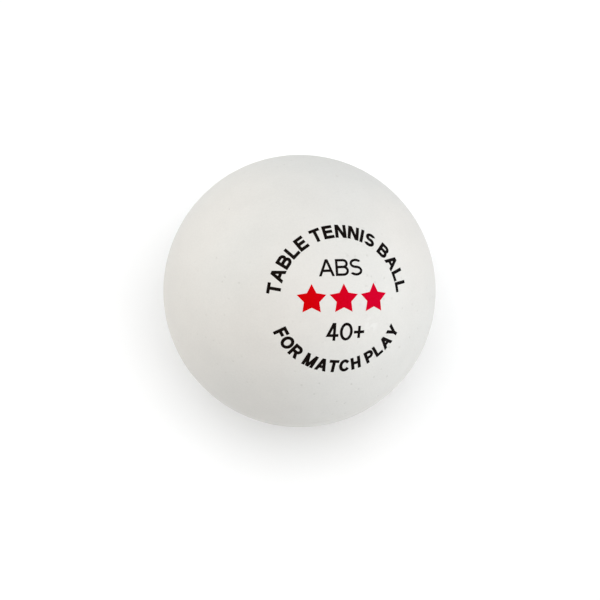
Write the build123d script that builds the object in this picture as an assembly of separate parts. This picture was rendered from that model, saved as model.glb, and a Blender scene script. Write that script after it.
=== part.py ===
from build123d import *
import os
from math import asin, atan2, ceil, cos, degrees, hypot, radians, sin, sqrt

# A seamed plastic table tennis ball of the 40+ size, in millimetres.
# Two moulded half shells meet at the equator, z = 0. The lower one carries a thin inner lip that
# laps inside the upper one, and solvent cement fills the lap and the joint between the rims.
# The print is a set of thin ink films that lie on the upper half shell.
# The origin is the centre of the ball and +Z is the axis through both poles.

# Ball
BALL_DIAMETER = 40.2
WALL = 0.50
RADIUS = BALL_DIAMETER / 2
INNER_RADIUS = RADIUS - WALL

# Seam
LIP_THICKNESS = 0.30
LIP_HEIGHT = 2.0
LIP_ROOT = 0.8
CEMENT_FILM = 0.03
BUTT_GAP = 0.04
RIM_BREAK = 0.05

# Ink
INK_THICKNESS = 0.02
INK_BLANK_SIZE = 7.0
INK_PRISM_DEPTH = 1.0

# Where the middle of the print lies on the ball, and how far the print is turned anticlockwise
PRINT_LATITUDE = 63.95
PRINT_LONGITUDE = -44.5
PRINT_TURN = -42.4

# Three five-pointed stars in a row. The waist is the inner radius as a share of the outer one.
STAR_POINTS = 5
STAR_RADIUS = 2.28
STAR_WAIST = 0.52
STAR_SPACING = 4.83
STARS_PLACE = (0.19, 0.09)

# The two short lines of print, above and below the stars, in a medium stroke
LINE_NARROW = 0.97
MATERIAL_TEXT = "ABS"
MATERIAL_HEIGHT = 2.50
MATERIAL_STROKE = 0.37
MATERIAL_PLACE = (-0.12, 4.74)
MATERIAL_LENGTH = 6.72
SIZE_TEXT = "40+"
SIZE_HEIGHT = 2.72
SIZE_STROKE = 0.42
SIZE_PLACE = (0.62, -4.73)
SIZE_LENGTH = 6.0

# The two arcs of bold print round the middle. Their bearings run anticlockwise from its right.
LEGEND_RING = 10.29
LEGEND_HEIGHT = 2.10
LEGEND_STROKE = 0.48
WORD_GAP = 0.65
UPPER_WORDS = ("TABLE", "TENNIS", "BALL")
UPPER_NARROW = 0.97
UPPER_START = 175.0
UPPER_END = 5.3
LOWER_WORDS = ("FOR", "MATCH", "PLAY")
LOWER_NARROW = 0.87
LOWER_START = 205.4
LOWER_END = 334.8

# The widest step between two rim points of the fan that cuts a part out of a ring, in degrees, and
# its reach as a multiple of the ring's larger radius, enough to hold the ring between those points
FAN_STEP = 60
FAN_REACH = 3

# Each character as its width in cap heights, and its strokes along their centre lines.
# The strokes lie on a cell from 0 to 1 both ways, x from left to right and y up from the base line.
# A bar runs from one point to another and half a stroke past both; a link stops at the points.
# A slant has a lower and an upper end, each a point and its level width in strokes.
# A bow has its centre, its two radii, its start and its turn in degrees.
STEM = ("bar", 0, 0, 0, 1)
GLYPHS = {
    "A": (
        0.98,
        [
            ("slant", 0, 0, 1.06, 0.5, 1, 1.06),
            ("slant", 1, 0, 1.06, 0.5, 1, 1.06),
            ("link", 0.15, 0.29, 0.85, 0.29),
        ],
    ),
    "B": (
        0.84,
        [
            STEM,
            ("link", 0, 1, 0.6, 1),
            ("link", 0, 0.53, 0.6, 0.53),
            ("link", 0, 0, 0.6, 0),
            ("bow", 0.6, 0.765, 0.34, 0.235, -90, 180),
            ("bow", 0.6, 0.265, 0.4, 0.265, -90, 180),
        ],
    ),
    "C": (0.92, [("bow", 0.5, 0.5, 0.5, 0.5, 42, 276)]),
    "E": (0.77, [STEM, ("bar", 0, 1, 0.95, 1), ("bar", 0, 0.53, 0.88, 0.53), ("bar", 0, 0, 1, 0)]),
    "F": (0.72, [STEM, ("bar", 0, 1, 1, 1), ("bar", 0, 0.5, 0.86, 0.5)]),
    "H": (0.83, [STEM, ("bar", 1, 0, 1, 1), ("bar", 0, 0.52, 1, 0.52)]),
    "I": (0, [STEM]),
    "L": (0.72, [STEM, ("bar", 0, 0, 1, 0)]),
    "M": (
        1.0,
        [
            STEM,
            ("bar", 1, 0, 1, 1),
            ("slant", 0.5, 0, 1, 0, 1, 1),
            ("slant", 0.5, 0, 1, 1, 1, 1),
        ],
    ),
    "N": (0.84, [STEM, ("bar", 1, 0, 1, 1), ("slant", 1, 0, 1.12, 0, 1, 1.12)]),
    "O": (1.0, [("bow", 0.5, 0.5, 0.5, 0.5, 0, 360)]),
    "P": (
        0.80,
        [
            STEM,
            ("link", 0, 1, 0.55, 1),
            ("link", 0, 0.44, 0.55, 0.44),
            ("bow", 0.55, 0.72, 0.45, 0.28, -90, 180),
        ],
    ),
    "R": (
        0.90,
        [
            STEM,
            ("link", 0, 1, 0.55, 1),
            ("link", 0, 0.46, 0.55, 0.46),
            ("bow", 0.55, 0.73, 0.38, 0.27, -90, 180),
            ("slant", 1, 0, 1.15, 0.44, 0.46, 1.15),
        ],
    ),
    "S": (
        0.82,
        [
            ("bow", 0.5, 0.76, 0.46, 0.24, 22, 248),
            ("bow", 0.5, 0.26, 0.5, 0.26, -158, 248),
        ],
    ),
    "T": (0.80, [("bar", 0, 1, 1, 1), ("bar", 0.5, 0, 0.5, 1)]),
    "Y": (
        0.92,
        [
            ("bar", 0.5, 0, 0.5, 0.4),
            ("slant", 0.5, 0.4, 1, 0, 1, 1.15),
            ("slant", 0.5, 0.4, 1, 1, 1, 1.15),
        ],
    ),
    "4": (
        0.72,
        [
            ("bar", 0.72, 0, 0.72, 1),
            ("bar", 0.24, 0.26, 1, 0.26),
            ("slant", 0, 0.26, 1.12, 0.68, 1, 1.1),
        ],
    ),
    "0": (0.75, [("bow", 0.5, 0.5, 0.5, 0.5, 0, 360)]),
    "+": (0.63, [("bar", 0, 0.45, 1, 0.45), ("bar", 0.5, 0.14, 0.5, 0.76)]),
}


def arc_x(radius, z):
    """How far a sphere's surface lies from the axis at the height z."""
    return sqrt(radius**2 - z**2)


def meridian(radius, z_start, z_end):
    """The stretch of a meridian from one height to another, in the profile plane."""
    start = degrees(asin(z_start / radius))
    end = degrees(asin(z_end / radius))
    return CenterArc((0, 0), radius, start, end - start)


def turned(*edges):
    """The solid that a closed profile sweeps round the polar axis."""
    profile = Plane.XZ * make_face(Curve() + list(edges))
    return revolve(profile, Axis.Z, 360)


def half_shell_upper():
    """The cup with a plain rim, its outer edge broken by a small chamfer."""
    rim_z = BUTT_GAP / 2
    return turned(
        meridian(RADIUS, rim_z + RIM_BREAK, RADIUS),
        Line((0, RADIUS), (0, INNER_RADIUS)),
        meridian(INNER_RADIUS, rim_z, INNER_RADIUS),
        Line((arc_x(INNER_RADIUS, rim_z), rim_z), (RADIUS - RIM_BREAK, rim_z)),
        Line((RADIUS - RIM_BREAK, rim_z), (arc_x(RADIUS, rim_z + RIM_BREAK), rim_z + RIM_BREAK)),
    )


def half_shell_lower():
    """The cup with the inner lip, which grows out of the wall just under the rim."""
    rim_z = -BUTT_GAP / 2
    lip_outer = INNER_RADIUS - CEMENT_FILM
    lip_inner = lip_outer - LIP_THICKNESS
    root_z = -LIP_ROOT
    slope_z = root_z - LIP_THICKNESS - CEMENT_FILM
    return turned(
        meridian(RADIUS, rim_z - RIM_BREAK, -RADIUS),
        Line((0, -RADIUS), (0, -INNER_RADIUS)),
        meridian(INNER_RADIUS, -INNER_RADIUS, slope_z),
        Line((arc_x(INNER_RADIUS, slope_z), slope_z), (arc_x(lip_inner, root_z), root_z)),
        meridian(lip_inner, root_z, LIP_HEIGHT),
        Line((arc_x(lip_inner, LIP_HEIGHT), LIP_HEIGHT), (arc_x(lip_outer, LIP_HEIGHT), LIP_HEIGHT)),
        meridian(lip_outer, LIP_HEIGHT, rim_z),
        Line((arc_x(lip_outer, rim_z), rim_z), (RADIUS - RIM_BREAK, rim_z)),
        Line((RADIUS - RIM_BREAK, rim_z), (arc_x(RADIUS, rim_z - RIM_BREAK), rim_z - RIM_BREAK)),
    )


def seam_cement():
    """The cement between the rims and in the lap, up to the top of the lip."""
    rim_z = BUTT_GAP / 2
    lip_outer = INNER_RADIUS - CEMENT_FILM
    edge_x = RADIUS - RIM_BREAK
    return turned(
        Line((edge_x, -rim_z), (edge_x, rim_z)),
        Line((edge_x, rim_z), (arc_x(INNER_RADIUS, rim_z), rim_z)),
        meridian(INNER_RADIUS, rim_z, LIP_HEIGHT),
        Line((arc_x(INNER_RADIUS, LIP_HEIGHT), LIP_HEIGHT), (arc_x(lip_outer, LIP_HEIGHT), LIP_HEIGHT)),
        meridian(lip_outer, LIP_HEIGHT, -rim_z),
        Line((arc_x(lip_outer, -rim_z), -rim_z), (edge_x, -rim_z)),
    )


def bar(start, end, stroke, past):
    """A level or upright stroke with square ends, which run past its two points by some length."""
    run = Vector(*end) - Vector(*start)
    middle = (Vector(*start) + Vector(*end)) / 2
    turn = degrees(atan2(run.Y, run.X))
    return Pos(middle.X, middle.Y) * Rot(0, 0, turn) * Rectangle(run.length + 2 * past, stroke)


def slant(lower, lower_width, upper, upper_width):
    """A sloping stroke whose two ends are cut level."""
    return Polygon(
        (lower[0] - lower_width / 2, lower[1]),
        (lower[0] + lower_width / 2, lower[1]),
        (upper[0] + upper_width / 2, upper[1]),
        (upper[0] - upper_width / 2, upper[1]),
        align=None,
    )


def fan(start, turn, reach):
    """A fan from the origin, which keeps a part of a ring."""
    steps = ceil(turn / FAN_STEP)
    angles = [radians(start + turn * i / steps) for i in range(steps + 1)]
    rim = [(reach * cos(a), reach * sin(a)) for a in angles]
    return Polygon((0, 0), *rim, align=None)


def bow(centre, radii, start, turn, stroke):
    """A curved stroke along an ellipse, all the way round or part of it."""
    ring = Ellipse(radii[0] + stroke / 2, radii[1] + stroke / 2)
    ring -= Ellipse(radii[0] - stroke / 2, radii[1] - stroke / 2)
    if turn < 360:
        ring &= fan(start, turn, FAN_REACH * max(radii))
    return Pos(*centre) * ring


def glyph_width(letter, height, stroke, narrow):
    """The full width of a character, at least one stroke."""
    return max(GLYPHS[letter][0] * height * narrow, stroke)


def glyph(letter, height, stroke, narrow):
    """The outline of one character, with its cell centred on the origin."""
    width = glyph_width(letter, height, stroke, narrow)

    def across(x, level_width):
        return (x - 0.5) * (width - level_width)

    def along(y):
        return (y - 0.5) * (height - stroke)

    outline = Sketch()
    for kind, *n in GLYPHS[letter][1]:
        if kind == "bow":
            radii = (n[2] * (width - stroke), n[3] * (height - stroke))
            outline += bow((across(n[0], stroke), along(n[1])), radii, n[4], n[5], stroke)
        elif kind == "slant":
            lower_width = n[2] * stroke
            upper_width = n[5] * stroke
            lower = (across(n[0], lower_width), along(n[1]) - stroke / 2)
            upper = (across(n[3], upper_width), along(n[4]) + stroke / 2)
            outline += slant(lower, lower_width, upper, upper_width)
        else:
            start = (across(n[0], stroke), along(n[1]))
            end = (across(n[2], stroke), along(n[3]))
            outline += bar(start, end, stroke, stroke / 2 if kind == "bar" else 0)
    return outline


def star():
    """The outline of a star with one point up."""
    corners = []
    for i in range(2 * STAR_POINTS):
        reach = STAR_RADIUS if i % 2 == 0 else STAR_RADIUS * STAR_WAIST
        angle = radians(90 + 180 * i / STAR_POINTS)
        corners.append((reach * cos(angle), reach * sin(angle)))
    return Polygon(*corners, align=None)


def ink_blank():
    """A patch of the ink layer round the local +Z axis, larger than any one mark."""
    layer = Rot(90, 0, 0) * (Sphere(RADIUS + INK_THICKNESS) - Sphere(RADIUS))
    return layer & Pos(0, 0, RADIUS) * Box(INK_BLANK_SIZE, INK_BLANK_SIZE, 2 * INK_PRISM_DEPTH)


def film(outline, blank):
    """The ink film that an outline leaves on the ball, round the local +Z axis."""
    prism = extrude(Pos(0, 0, RADIUS - INK_PRISM_DEPTH / 2) * outline, INK_PRISM_DEPTH)
    return (prism & blank).solid()


def on_print(place):
    """The turn that takes the middle of the print to a place on it, given along the surface."""
    bearing = degrees(atan2(place[1], place[0]))
    away = degrees(hypot(*place) / RADIUS)
    return Rot(0, 0, bearing) * Rot(0, away, 0) * Rot(0, 0, -bearing)


def on_ring(bearing, upright):
    """The turn that takes a character to a bearing on the ring, tops outward or inward."""
    away = degrees(LEGEND_RING / RADIUS)
    return Rot(0, 0, bearing) * Rot(0, away, 0) * Rot(0, 0, -90 if upright else 90)


def on_ball(marks):
    """The marks of one node, turned from the +Z pole to where the print lies on the ball."""
    to_place = Rot(0, 0, PRINT_LONGITUDE) * Rot(0, 90 - PRINT_LATITUDE, 0) * Rot(0, 0, 90 + PRINT_TURN)
    return Compound(children=[to_place * mark for mark in marks])


def line_of_print(text, height, stroke, length, middle, blank):
    """The characters of a short straight line, spread evenly over its length."""
    widths = [glyph_width(letter, height, stroke, LINE_NARROW) for letter in text]
    gap = (length - sum(widths)) / (len(text) - 1)
    marks = []
    x = middle[0] - length / 2
    for letter, width in zip(text, widths):
        place = on_print((x + width / 2, middle[1]))
        marks.append(place * film(glyph(letter, height, stroke, LINE_NARROW), blank))
        x += width + gap
    return marks


def arc_of_print(words, narrow, start, end, blank):
    """The characters of each word of an arc, spread evenly between two bearings."""
    upright = end < start
    ring = RADIUS * sin(LEGEND_RING / RADIUS)
    length = radians(abs(end - start)) * ring
    pen = (LEGEND_HEIGHT, LEGEND_STROKE, narrow)
    widths = {letter: glyph_width(letter, *pen) for letter in "".join(words)}
    filled = sum(widths[letter] for letter in "".join(words))
    steps = sum(len(word) - 1 for word in words) + len(words) - 1
    gap = (length - filled - WORD_GAP * (len(words) - 1)) / steps
    arcs = []
    run = 0
    for word in words:
        marks = []
        for letter in word:
            turn = degrees((run + widths[letter] / 2) / ring)
            bearing = start - turn if upright else start + turn
            marks.append(on_ring(bearing, upright) * film(glyph(letter, *pen), blank))
            run += widths[letter] + gap
        arcs.append(marks)
        run += WORD_GAP
    return arcs


def main():
    os.makedirs("parts", exist_ok=True)
    nodes = {
        "half_shell_upper": half_shell_upper(),
        "half_shell_lower": half_shell_lower(),
        "seam_cement": seam_cement(),
    }
    blank = ink_blank()
    for i, side in enumerate(("left", "centre", "right")):
        place = on_print((STARS_PLACE[0] + (i - 1) * STAR_SPACING, STARS_PLACE[1]))
        nodes[f"star_{side}"] = on_ball([place * film(star(), blank)])
    material = (MATERIAL_TEXT, MATERIAL_HEIGHT, MATERIAL_STROKE, MATERIAL_LENGTH, MATERIAL_PLACE)
    nodes["material_mark"] = on_ball(line_of_print(*material, blank))
    size = (SIZE_TEXT, SIZE_HEIGHT, SIZE_STROKE, SIZE_LENGTH, SIZE_PLACE)
    nodes["size_mark"] = on_ball(line_of_print(*size, blank))
    for words, *arc in (
        (UPPER_WORDS, UPPER_NARROW, UPPER_START, UPPER_END),
        (LOWER_WORDS, LOWER_NARROW, LOWER_START, LOWER_END),
    ):
        for word, marks in zip(words, arc_of_print(words, *arc, blank)):
            nodes[f"legend_{word.lower()}"] = on_ball(marks)
    for name, shape in nodes.items():
        export_step(shape, f"parts/{name}.step")
    plastic = nodes["half_shell_upper"].volume + nodes["half_shell_lower"].volume
    print(f"plastic {plastic:.1f} mm3, cement {nodes['seam_cement'].volume:.2f} mm3")


main()
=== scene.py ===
import math

import bmesh
import bpy
from mathutils import Matrix, Vector, noise


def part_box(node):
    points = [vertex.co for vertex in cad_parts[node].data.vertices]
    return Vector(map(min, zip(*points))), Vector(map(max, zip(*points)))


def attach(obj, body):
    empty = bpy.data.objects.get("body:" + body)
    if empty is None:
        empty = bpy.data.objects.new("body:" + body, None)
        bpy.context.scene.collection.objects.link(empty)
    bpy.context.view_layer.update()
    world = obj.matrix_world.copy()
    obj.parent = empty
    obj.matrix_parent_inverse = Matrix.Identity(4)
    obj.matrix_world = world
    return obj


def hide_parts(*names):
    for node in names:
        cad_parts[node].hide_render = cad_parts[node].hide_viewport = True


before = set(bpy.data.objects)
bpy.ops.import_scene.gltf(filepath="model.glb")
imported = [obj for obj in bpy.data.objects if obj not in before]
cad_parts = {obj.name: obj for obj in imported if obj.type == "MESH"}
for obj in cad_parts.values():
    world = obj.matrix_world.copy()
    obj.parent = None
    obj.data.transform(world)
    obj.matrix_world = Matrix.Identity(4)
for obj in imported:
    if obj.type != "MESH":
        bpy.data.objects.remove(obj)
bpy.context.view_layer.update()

# A seamed plastic table tennis ball on a pale, softly lit table, seen from above.
# Metres throughout. The origin is the ball's centre, +Z is the axis through both poles, and the
# seam lies in the plane z = 0, as in the CAD model. Colours are linear red, green and blue.

MM = 0.001

# The ball, from the CAD model
RADIUS = -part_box("half_shell_lower")[0].z

# The build of the shells, as in the CAD model
WALL = 0.50 * MM
LIP_THICKNESS = 0.30 * MM
LIP_HEIGHT = 2.0 * MM
LIP_ROOT = 0.8 * MM
CEMENT_FILM = 0.03 * MM
BUTT_GAP = 0.04 * MM
RIM_BREAK = 0.05 * MM
INNER_RADIUS = RADIUS - WALL
LIP_OUTER = INNER_RADIUS - CEMENT_FILM
LIP_INNER = LIP_OUTER - LIP_THICKNESS

# How far the cement bulges out of the seam, how much that varies, and how often
MENISCUS = 0.006 * MM
MENISCUS_SWELL = 0.010 * MM
MENISCUS_WAVES_PER_METRE = 900

# Mesh fineness
ROUND_STEPS = 192
MERIDIAN_STEP = math.radians(1.5)
RIM_STEPS = 4
SMOOTH_LIMIT = math.radians(35)
ON_AXIS = 1e-7

# Shell plastic: two close shades, the duller band over the lap, dirt specks, painted shade in the pits
# and a painted highlight
SHELL_SHADES = ((0.786, 0.764, 0.723), (0.772, 0.766, 0.733))
LAP_SHADE = (0.731, 0.712, 0.673)
LAP_FADE_IN = (-LIP_ROOT - 0.5 * MM, -LIP_ROOT + 0.3 * MM)
LAP_FADE_OUT = (LIP_HEIGHT + 0.4 * MM, LIP_HEIGHT - 0.4 * MM)
PIT_PAINTED_SHADE = (0.36, 0.34, 0.30)
DIRT_SHADE = (0.30, 0.27, 0.21)
PAINTED_HIGHLIGHT_SHADE = (0.87, 0.87, 0.84)
GRAIN_RELIEF = 0.006 * MM
RIPPLE_RELIEF = 0.010 * MM
PIT_RELIEF = 0.035 * MM

# A painted highlight: a small pale spot beside the print, standing in for a lamp's glint
PAINTED_HIGHLIGHT = (10.4 * MM, -9.1 * MM, 14.6 * MM)
PAINTED_HIGHLIGHT_REACH = 1.5 * MM

# Dried cement
CEMENT_SHADES = ((0.62, 0.60, 0.53), (0.72, 0.71, 0.66))
CEMENT_RELIEF = 0.006 * MM

# Ink, at the left and right of the print and where it lies thin
RED_SHADES = ((0.665, 0.0, 0.001), (0.645, 0.0, 0.026))
RED_THIN = (0.53, 0.0, 0.003)
BLACK_SHADES = ((0.0072, 0.0042, 0.0030), (0.0068, 0.0052, 0.0055))
BLACK_THIN = (0.010, 0.007, 0.006)
PINHOLE_SHADE = (0.70, 0.68, 0.64)
INK_RELIEF = 0.003 * MM

# Table and backdrop
TABLE_RADIUS = 6.0
TABLE_SEGMENTS = 96
TABLE_SHADES = ((0.965, 0.967, 0.970), (0.972, 0.972, 0.972))
TABLE_GLOW = 0.080
WHITE_GLOW = (1, 1, 1, 1)
BACKDROP = (1.2, 1.2, 1.2, 1)

# Lamps, each as its azimuth anticlockwise from +X, elevation and angle across in degrees, its
# strength and its tint
WHITE = (1.0, 1.0, 1.0)
WARM = (1.0, 0.95, 0.86)
COOL = (0.86, 0.92, 1.0)
FAINTLY_COOL = (0.94, 0.98, 1.0)
LAMPS = {
    "overhead": (0, 90, 70, 2.6, WHITE),
    "upper_right": (0, 70, 32, 0.15, WHITE),
    "right": (0, 10, 32, 0.7, COOL),
    "back": (90, 10, 32, 0.35, COOL),
    "back_left": (150, 10, 32, 0.5, FAINTLY_COOL),
    "left": (180, 10, 32, 0.55, WARM),
    "front_right": (330, 10, 32, 0.65, WHITE),
}

# Camera
CAMERA_ELEVATION = math.radians(75)
CAMERA_LENS = 500
CAMERA_REACH = 10
FIELD_WIDTH = 88.55 * MM
BALL_OFFSET = (-0.07 * MM, 1.32 * MM)


# ---------------------------------------------------------------- meshes


def meridian(radius, start, end):
    """Points of a sphere's meridian between two latitudes, as (distance from the axis, height)."""
    steps = max(1, round(abs(end - start) / MERIDIAN_STEP))
    points = []
    for i in range(steps + 1):
        latitude = start + (end - start) * i / steps
        points.append((radius * math.cos(latitude), radius * math.sin(latitude)))
    return points


def latitude_at(radius, z):
    return math.asin(z / radius)


def rounded_edge(sphere_z, rim_z):
    """The broken outer edge of a rim, from the sphere's surface round to the rim's flat face."""
    side = math.copysign(1, rim_z)
    outer_x = math.sqrt(RADIUS**2 - sphere_z**2)
    inner_x = RADIUS - RIM_BREAK
    points = []
    for i in range(1, RIM_STEPS + 1):
        turn = math.pi / 2 * i / RIM_STEPS
        x = inner_x + (outer_x - inner_x) * math.cos(turn)
        z = sphere_z - side * RIM_BREAK * math.sin(turn)
        points.append((x, z))
    return points


def upper_profile():
    """The plain cup, from the outside of its pole round the rim to the inside of its pole."""
    rim_z = BUTT_GAP / 2
    edge_z = rim_z + RIM_BREAK
    outside = meridian(RADIUS, math.pi / 2, latitude_at(RADIUS, edge_z))
    inside = meridian(INNER_RADIUS, latitude_at(INNER_RADIUS, rim_z), math.pi / 2)
    return outside + rounded_edge(edge_z, rim_z) + inside


def lower_profile():
    """The cup with the lip, from the outside of its pole round the rim and the lip."""
    rim_z = -BUTT_GAP / 2
    edge_z = rim_z - RIM_BREAK
    slope_z = -LIP_ROOT - LIP_THICKNESS - CEMENT_FILM
    outside = meridian(RADIUS, -math.pi / 2, latitude_at(RADIUS, edge_z))
    lip_out = meridian(LIP_OUTER, latitude_at(LIP_OUTER, rim_z), latitude_at(LIP_OUTER, LIP_HEIGHT))
    lip_in = meridian(LIP_INNER, latitude_at(LIP_INNER, LIP_HEIGHT), latitude_at(LIP_INNER, -LIP_ROOT))
    inside = meridian(INNER_RADIUS, latitude_at(INNER_RADIUS, slope_z), -math.pi / 2)
    return outside + rounded_edge(edge_z, rim_z) + lip_out + lip_in + inside


def bead_profile():
    """The cement between the rims and in the lap, starting at its outer face, the meniscus."""
    rim_z = BUTT_GAP / 2
    face = RADIUS - RIM_BREAK
    bulge = face + MENISCUS
    meniscus = [(face, -rim_z), (bulge, -rim_z / 3), (bulge, rim_z / 3), (face, rim_z)]
    lap_top = latitude_at(INNER_RADIUS, LIP_HEIGHT)
    lap_out = meridian(INNER_RADIUS, latitude_at(INNER_RADIUS, rim_z), lap_top)
    lap_in = meridian(LIP_OUTER, latitude_at(LIP_OUTER, LIP_HEIGHT), latitude_at(LIP_OUTER, -rim_z))
    return meniscus + lap_out + lap_in


def lathe(name, profile):
    """A closed mesh swept round the polar axis. Profile points on the axis become poles."""
    mesh = bmesh.new()
    rows = []
    for x, z in profile:
        if x < ON_AXIS:
            rows.append([mesh.verts.new((0, 0, z))])
            continue
        row = []
        for i in range(ROUND_STEPS):
            turn = 2 * math.pi * i / ROUND_STEPS
            row.append(mesh.verts.new((x * math.cos(turn), x * math.sin(turn), z)))
        rows.append(row)
    for above, below in zip(rows, rows[1:] + rows[:1]):
        if len(above) == 1 and len(below) == 1:
            continue
        for i in range(ROUND_STEPS):
            j = (i + 1) % ROUND_STEPS
            corners = [above[i % len(above)], below[i % len(below)]]
            corners += [below[j % len(below)], above[j % len(above)]]
            mesh.faces.new(list(dict.fromkeys(corners)))
    bmesh.ops.recalc_face_normals(mesh, faces=mesh.faces)
    return to_object(name, mesh)


def to_object(name, mesh):
    """A smooth-shaded object of a finished mesh, with its real edges kept sharp."""
    data = bpy.data.meshes.new(name)
    mesh.to_mesh(data)
    mesh.free()
    data.shade_smooth()
    data.set_sharp_from_angle(angle=SMOOTH_LIMIT)
    made = bpy.data.objects.new(name, data)
    bpy.context.scene.collection.objects.link(made)
    return made


def cement_bead():
    """The cement, whose meniscus is slightly uneven all the way round."""
    bead = lathe("cement_bead", bead_profile())
    meniscus_from = RADIUS - RIM_BREAK + MENISCUS / 2
    for vertex in bead.data.vertices:
        if math.hypot(vertex.co.x, vertex.co.y) > meniscus_from:
            swell = 1 + MENISCUS_SWELL / RADIUS * noise.noise(vertex.co * MENISCUS_WAVES_PER_METRE)
            vertex.co.x *= swell
            vertex.co.y *= swell
    return bead


# ---------------------------------------------------------------- materials


class Nodes:
    """Short ways to add nodes to one material."""

    def __init__(self, name):
        self.material = bpy.data.materials.new(name)
        self.material.use_nodes = True
        self.tree = self.material.node_tree
        self.shader = self.tree.nodes["Principled BSDF"]
        self.place = self.add("ShaderNodeTexCoord").outputs["Object"]

    def add(self, kind, **settings):
        node = self.tree.nodes.new(kind)
        for key, value in settings.items():
            setattr(node, key, value)
        return node

    def join(self, source, socket):
        self.tree.links.new(source, socket)

    def feed(self, socket, value):
        """Give a socket another node's output, a colour or a plain value."""
        if isinstance(value, bpy.types.NodeSocket):
            self.join(value, socket)
        elif isinstance(value, tuple) and len(value) == 3 and socket.type == "RGBA":
            socket.default_value = (*value, 1)
        else:
            socket.default_value = value

    def noise(self, size, detail, roughness=0.5):
        """Noise whose features are about the given size across, from 0 to 1."""
        node = self.add("ShaderNodeTexNoise")
        self.join(self.place, node.inputs["Vector"])
        node.inputs["Scale"].default_value = 1 / size
        node.inputs["Detail"].default_value = detail
        node.inputs["Roughness"].default_value = roughness
        return node.outputs["Fac"]

    def span(self, value, low, high, to_low=0.0, to_high=1.0):
        """A value eased from one range to another, and held at the ends."""
        node = self.add("ShaderNodeMapRange", interpolation_type="SMOOTHSTEP")
        self.feed(node.inputs["Value"], value)
        node.inputs["From Min"].default_value = low
        node.inputs["From Max"].default_value = high
        node.inputs["To Min"].default_value = to_low
        node.inputs["To Max"].default_value = to_high
        return node.outputs["Result"]

    def combine(self, operation, a, b):
        node = self.add("ShaderNodeMath", operation=operation)
        self.feed(node.inputs[0], a)
        self.feed(node.inputs[1], b)
        return node.outputs[0]

    def mix(self, factor, a, b, blend="MIX"):
        node = self.add("ShaderNodeMix", data_type="RGBA", blend_type=blend)
        colours = [s for s in node.inputs if s.type == "RGBA"]
        self.feed(node.inputs["Factor"], factor)
        self.feed(colours[0], a)
        self.feed(colours[1], b)
        return next(s for s in node.outputs if s.type == "RGBA")

    def stain(self, colour, shade, where, strength):
        """A colour with a shade laid over it at some strength, where a mask is 1."""
        return self.mix(self.combine("MULTIPLY", where, strength), colour, shade)

    def grey(self, value):
        node = self.add("ShaderNodeCombineColor")
        for socket in node.inputs[:3]:
            self.join(value, socket)
        return node.outputs[0]

    def coordinate(self, axis):
        node = self.add("ShaderNodeSeparateXYZ")
        self.join(self.place, node.inputs[0])
        return node.outputs[axis]

    def specks(self, spacing, size, share):
        """1 inside small round specks of a given radius, in a given share of the cells."""
        node = self.add("ShaderNodeTexVoronoi", feature="F1")
        self.join(self.place, node.inputs["Vector"])
        node.inputs["Scale"].default_value = 1 / spacing
        inside = self.span(node.outputs["Distance"], size / spacing, 0.45 * size / spacing)
        channel = self.add("ShaderNodeSeparateColor")
        self.join(node.outputs["Color"], channel.inputs[0])
        chosen = self.combine("LESS_THAN", channel.outputs[0], share)
        return self.combine("MULTIPLY", inside, chosen)

    def near(self, point, reach):
        """1 at a point, falling to 0 at the given distance from it."""
        node = self.add("ShaderNodeVectorMath", operation="DISTANCE")
        self.join(self.place, node.inputs[0])
        node.inputs[1].default_value = point
        return self.span(node.outputs["Value"], reach, 0.4 * reach)

    def bumps(self, *layers):
        """Height layers, each as (value from 0 to 1, height in metres), one on top of the other."""
        normal = None
        for value, height in layers:
            node = self.add("ShaderNodeBump")
            node.inputs["Distance"].default_value = height
            self.join(value, node.inputs["Height"])
            if normal:
                self.join(normal, node.inputs["Normal"])
            normal = node.outputs["Normal"]
        self.join(normal, self.shader.inputs["Normal"])

    def surface(self, colour, roughness, specular):
        self.feed(self.shader.inputs["Base Color"], colour)
        self.feed(self.shader.inputs["Roughness"], roughness)
        self.shader.inputs["Specular IOR Level"].default_value = specular
        return self.material


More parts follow.
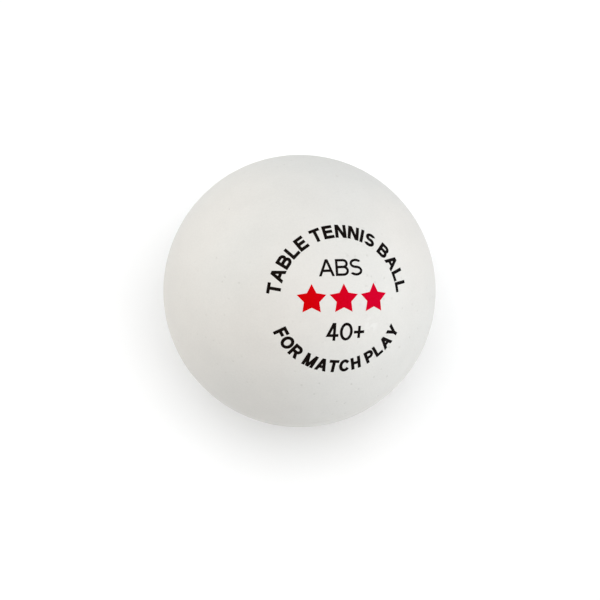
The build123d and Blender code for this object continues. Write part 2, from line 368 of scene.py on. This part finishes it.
def shell_material():
    """Matte off-white moulded plastic, tumbled to a fine grain, a little duller over the lap."""
    n = Nodes("shell_plastic")
    height = n.coordinate("Z")
    drift = n.span(n.noise(size=26 * MM, detail=1), 0.35, 0.65)
    clouds = n.noise(size=4 * MM, detail=3)
    grain = n.noise(size=0.28 * MM, detail=2)
    colour = n.mix(drift, *SHELL_SHADES)
    cloud_shade = n.span(clouds, 0.3, 0.7, to_low=0.985, to_high=1.01)
    grain_shade = n.span(grain, 0.3, 0.7, to_low=-0.012, to_high=0.012)
    colour = n.mix(1.0, colour, n.grey(n.combine("ADD", cloud_shade, grain_shade)), "MULTIPLY")

    lap = n.combine("MULTIPLY", n.span(height, *LAP_FADE_IN), n.span(height, *LAP_FADE_OUT))
    colour = n.stain(colour, LAP_SHADE, lap, strength=0.15)

    # Tiny pits: real dimples in the bumps below, also darkened with a painted shade as if shaded
    # inside
    pit_patches = n.span(n.noise(size=14 * MM, detail=1), 0.40, 0.62, to_low=0.25)
    pits = n.combine("MULTIPLY", n.specks(spacing=1.3 * MM, size=0.25 * MM, share=0.8), pit_patches)
    colour = n.stain(colour, PIT_PAINTED_SHADE, pits, strength=0.13)
    dirt = n.specks(spacing=2.6 * MM, size=0.15 * MM, share=0.16)
    colour = n.stain(colour, DIRT_SHADE, dirt, strength=0.30)
    # Painted highlight: a pale spot beside the print, lighter as if it caught a lamp's glint
    streaks = n.span(n.noise(size=0.8 * MM, detail=1), 0.40, 0.58)
    painted_highlight = n.combine("MULTIPLY", n.near(PAINTED_HIGHLIGHT, PAINTED_HIGHLIGHT_REACH), streaks)
    colour = n.stain(colour, PAINTED_HIGHLIGHT_SHADE, painted_highlight, strength=0.45)

    ripple = n.noise(size=1.3 * MM, detail=2)
    unpitted = n.combine("SUBTRACT", 1.0, pits)
    n.bumps((grain, GRAIN_RELIEF), (ripple, RIPPLE_RELIEF), (unpitted, PIT_RELIEF))
    roughness = n.span(clouds, 0.25, 0.75, to_low=0.52, to_high=0.62)
    return n.surface(colour, roughness, specular=0.35)


def cement_material():
    """Dried solvent cement, a shade duller and yellower than the shell."""
    n = Nodes("dried_cement")
    streaks = n.noise(size=0.9 * MM, detail=3)
    colour = n.mix(n.span(streaks, 0.3, 0.7), *CEMENT_SHADES)
    n.bumps((n.noise(size=0.12 * MM, detail=2), CEMENT_RELIEF))
    roughness = n.span(streaks, 0.3, 0.7, to_low=0.42, to_high=0.6)
    return n.surface(colour, roughness, specular=0.35)


def ink_material(name, shades, thin, from_x, to_x):
    """Pad-printed ink that shifts in hue across the print, a little uneven, with a few pinholes."""
    n = Nodes(name)
    across = n.span(n.coordinate("X"), from_x, to_x)
    colour = n.mix(across, *shades)
    thinness = n.span(n.noise(size=0.35 * MM, detail=3, roughness=0.6), 0.42, 0.72)
    colour = n.stain(colour, thin, thinness, strength=0.35)
    pinholes = n.specks(spacing=0.33 * MM, size=0.022 * MM, share=0.06)
    colour = n.stain(colour, PINHOLE_SHADE, pinholes, strength=0.8)
    n.bumps((n.noise(size=0.10 * MM, detail=2), INK_RELIEF))
    roughness = n.span(thinness, 0, 1, to_low=0.50, to_high=0.62)
    return n.surface(colour, roughness, specular=0.01)


def table_material():
    """Plain pale table, with a faint glow of its own that keeps the shadow soft."""
    n = Nodes("pale_table")
    colour = n.mix(n.noise(size=0.4, detail=2), *TABLE_SHADES)
    n.shader.inputs["Emission Color"].default_value = WHITE_GLOW
    n.shader.inputs["Emission Strength"].default_value = TABLE_GLOW
    return n.surface(colour, roughness=0.9, specular=0.0)


def paint(thing, material):
    thing.data.materials.clear()
    thing.data.materials.append(material)


# ---------------------------------------------------------------- the ball

plastic = shell_material()
cups = {
    "half_shell_upper": ("cup_upper", upper_profile),
    "half_shell_lower": ("cup_lower", lower_profile),
}
for node, (name, profile) in cups.items():
    cup = lathe(name, profile())
    paint(cup, plastic)
    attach(cup, "root")
    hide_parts(node)

bead = cement_bead()
paint(bead, cement_material())
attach(bead, "root")
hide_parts("seam_cement")

stars_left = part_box("star_left")[0].x
stars_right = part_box("star_right")[1].x
words_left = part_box("legend_table")[0].x
words_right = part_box("legend_ball")[1].x
red = ink_material("ink_red", RED_SHADES, RED_THIN, stars_left, stars_right)
black = ink_material("ink_black", BLACK_SHADES, BLACK_THIN, words_left, words_right)
for name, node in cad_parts.items():
    if name.startswith("star_"):
        paint(node, red)
    elif name.startswith("legend_") or name.endswith("_mark"):
        paint(node, black)


# ---------------------------------------------------------------- table, light and camera


def table_top():
    """The table that the ball rests on."""
    mesh = bmesh.new()
    bmesh.ops.create_circle(mesh, cap_ends=True, radius=TABLE_RADIUS, segments=TABLE_SEGMENTS)
    floor = to_object("table_top", mesh)
    floor.location.z = -RADIUS
    paint(floor, table_material())


def soft_lamp(name, azimuth, elevation, width, strength, tint):
    """A far, wide and even lamp."""
    lamp = bpy.data.lights.new(name, "SUN")
    lamp.angle = math.radians(width)
    lamp.energy = strength
    lamp.color = tint
    holder = bpy.data.objects.new(name, lamp)
    a = math.radians(azimuth)
    e = math.radians(elevation)
    towards = Vector((math.cos(e) * math.cos(a), math.cos(e) * math.sin(a), math.sin(e)))
    holder.rotation_euler = towards.to_track_quat("Z", "Y").to_euler()
    bpy.context.scene.collection.objects.link(holder)


def surroundings():
    """A room that looks white behind the table and gives no light of its own."""
    world = bpy.data.worlds.new("room")
    bpy.context.scene.world = world
    world.use_nodes = True
    tree = world.node_tree
    background = tree.nodes["Background"]
    background.inputs["Color"].default_value = BACKDROP
    ray = tree.nodes.new("ShaderNodeLightPath")
    tree.links.new(ray.outputs["Is Camera Ray"], background.inputs["Strength"])


def camera():
    """A long lens far above the ball, which keeps its outline and print almost free of perspective."""
    data = bpy.data.cameras.new("camera")
    data.lens = CAMERA_LENS
    data.clip_end = CAMERA_REACH
    holder = bpy.data.objects.new("camera", data)
    back = Vector((0, -math.cos(CAMERA_ELEVATION), math.sin(CAMERA_ELEVATION)))
    right = Vector((1, 0, 0))
    up = back.cross(right)
    half_angle = math.atan(data.sensor_width / 2 / data.lens)
    distance = FIELD_WIDTH / 2 / math.tan(half_angle)
    place = back * distance - right * BALL_OFFSET[0] - up * BALL_OFFSET[1]
    holder.matrix_world = Matrix.Translation(place) @ Matrix((right, up, back)).transposed().to_4x4()
    bpy.context.scene.collection.objects.link(holder)
    bpy.context.scene.camera = holder


table_top()
surroundings()
for name, settings in LAMPS.items():
    soft_lamp(name, *settings)
camera()
bpy.context.scene.view_settings.view_transform = "Standard"
